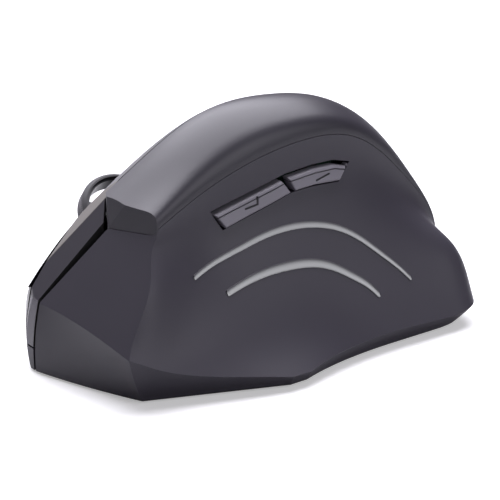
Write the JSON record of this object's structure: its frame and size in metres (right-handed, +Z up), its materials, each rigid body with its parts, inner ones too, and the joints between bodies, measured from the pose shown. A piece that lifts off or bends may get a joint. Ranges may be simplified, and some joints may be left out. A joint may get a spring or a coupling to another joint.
{
  "type": "vertical ergonomic mouse",
  "caption": "Right-handed vertical wireless mouse: tall leaning shell with a thumb rest, thumb-side keys, click panels down the finger slope and a ring scroll wheel.",
  "frame": {"origin": "middle of the footprint box, on the desk", "axes": "+Y towards the nose, +X towards the finger side, +Z up"},
  "size_m": [0.0768, 0.1232, 0.0667],
  "materials": {
    "shell_satin": "satin, faintly violet charcoal",
    "crest_satin": "satin charcoal",
    "click_satin": "satin charcoal",
    "strip_gloss": "gloss black",
    "button_satin": "semi-gloss charcoal",
    "accent": "pale grey, semi-gloss",
    "base_matte": "fine matte",
    "glide": "slick, low friction",
    "tyre": "ribbed, soft",
    "hub": "semi-gloss",
    "frame_matte": "moulded matte",
    "board": "solder-masked board",
    "switch": "moulded",
    "chip": "moulded",
    "lens": "clear moulded",
    "steel": "bright",
    "spring": "plated",
    "cell": "plain printed sleeve",
    "plug": "plated"
  },
  "bodies": {
    "mouse_body": {"thumb_shell": "shell_satin", "palm_shell": "shell_satin", "crest_cover": "crest_satin", "centre_strip": "strip_gloss", "base_plate": "base_matte", "glide_feet": "glide", "base_screws": "steel", "board_screws": "steel", "wheel_encoder": "switch", "finger_board": "board", "finger_bracket": "frame_matte", "left_switch": "switch", "right_switch": "switch", "middle_switch": "switch", "dpi_switch": "switch", "forward_switch": "switch", "back_switch": "switch", "thumb_board": "board", "side_button_bracket": "frame_matte", "upper_accent_strip": "accent", "lower_accent_strip": "accent", "main_board": "board", "optical_sensor": "chip", "sensor_lens": "lens", "controller_chip": "chip", "radio_module": "plug", "power_switch": "switch", "battery_cell": "cell", "battery_cradle": "base_matte", "battery_spring": "spring", "battery_contact": "steel"},
    "wheel_carrier": {"wheel_carrier": "frame_matte"},
    "scroll_wheel": {"wheel_tyre": "tyre", "wheel_hub": "hub"},
    "left_click": {"left_click_button": "click_satin"},
    "right_click": {"right_click_button": "click_satin"},
    "dpi_key": {"dpi_button": "button_satin"},
    "forward_key": {"forward_button": "button_satin"},
    "back_key": {"back_button": "button_satin"},
    "power_slider": {"power_knob": "hub"},
    "door": {"battery_door": "base_matte"},
    "receiver": {"usb_receiver": "plug"}
  },
  "joints": [
    {"name": "wheel_press", "type": "slide", "parent": "mouse_body", "child": "wheel_carrier", "axis": [-0.766, 0, -0.6428], "range_m": [0, 0.0005], "stiffness_N_per_m": 1200, "springref_m": -0.0005},
    {"name": "wheel_spin", "type": "hinge", "parent": "wheel_carrier", "child": "scroll_wheel", "pos_m": [0.01796, 0.02898, 0.0361], "axis": [-0.6428, 0, 0.766], "continuous": true},
    {"name": "left_click_press", "type": "hinge", "parent": "mouse_body", "child": "left_click", "pos_m": [0.01359, -0.00519, 0.058], "axis": [-0.6428, 0, 0.766], "range_deg": [0, 0.45], "stiffness_Nm_per_rad": 2, "springref_deg": -0.29},
    {"name": "right_click_press", "type": "hinge", "parent": "mouse_body", "child": "right_click", "pos_m": [0.02759, -0.00519, 0.028], "axis": [-0.6428, 0, 0.766], "range_deg": [0, 0.45], "stiffness_Nm_per_rad": 2, "springref_deg": -0.29},
    {"name": "dpi_press", "type": "slide", "parent": "mouse_body", "child": "dpi_key", "axis": [-0.766, 0, -0.6428], "range_m": [0, 0.0005], "stiffness_N_per_m": 800, "springref_m": -0.0005},
    {"name": "forward_press", "type": "slide", "parent": "mouse_body", "child": "forward_key", "axis": [1, 0, 0], "range_m": [0, 0.0006], "stiffness_N_per_m": 800, "springref_m": -0.0005},
    {"name": "back_press", "type": "slide", "parent": "mouse_body", "child": "back_key", "axis": [1, 0, 0], "range_m": [0, 0.0006], "stiffness_N_per_m": 800, "springref_m": -0.0005},
    {"name": "power_slide", "type": "slide", "parent": "mouse_body", "child": "power_slider", "axis": [0, 1, 0], "range_m": [0, 0.0035]},
    {"name": "door_slide", "type": "slide", "parent": "mouse_body", "child": "door", "axis": [0, 1, 0], "range_m": [0, 0.0045]},
    {"name": "receiver_pull", "type": "slide", "parent": "mouse_body", "child": "receiver", "axis": [0, 0, -1], "range_m": [0, 0.009]}
  ]
}
